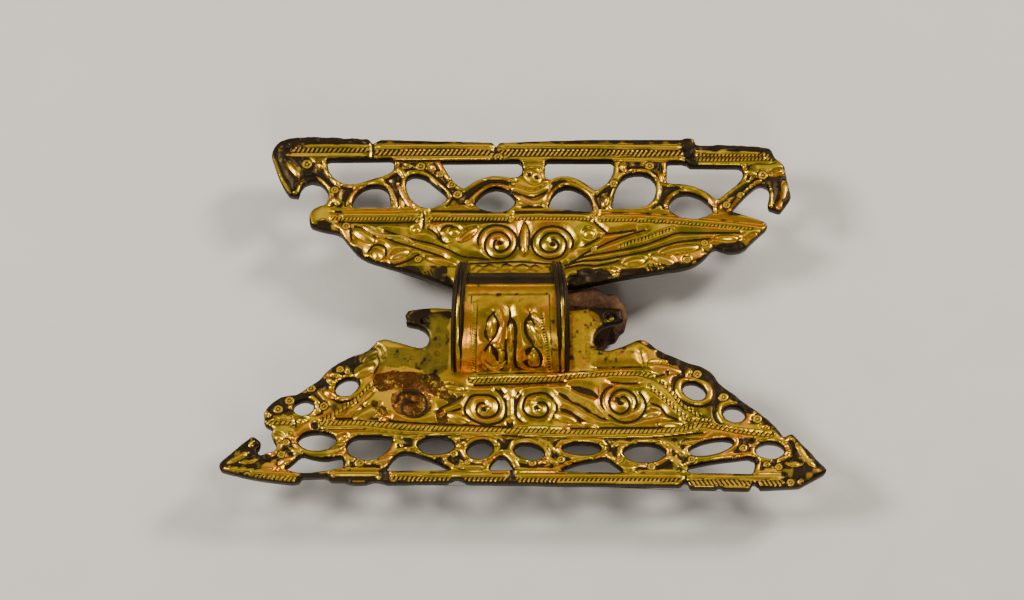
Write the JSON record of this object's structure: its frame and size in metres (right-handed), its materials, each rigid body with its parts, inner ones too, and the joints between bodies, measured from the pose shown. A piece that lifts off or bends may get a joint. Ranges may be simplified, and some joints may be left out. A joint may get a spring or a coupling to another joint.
{
  "type": "equal-armed bow brooch",
  "caption": "Cast gilt bow brooch with two wide openwork plates joined by a short arched bow, spirals and chip carving in front, catch and rusted spring behind",
  "frame": {"origin": "under the middle of the brooch's outline, on the surface that it lies on", "axes": "+X along the plates' long bars, to the right seen from the front, +Y from the foot plate to the head plate, +Z out of the decorated front"},
  "size_m": [0.0876, 0.0598, 0.0176],
  "materials": {
    "gilt_silver": "worn mercury gilding on cast silver, black tarnish in the grooves and on the outer ridges",
    "rusted_iron": "crumbly brown rust"
  },
  "bodies": {
    "root": {"brooch_body": "gilt_silver", "pin_spring_remains": "rusted_iron"}
  },
  "joints": []
}
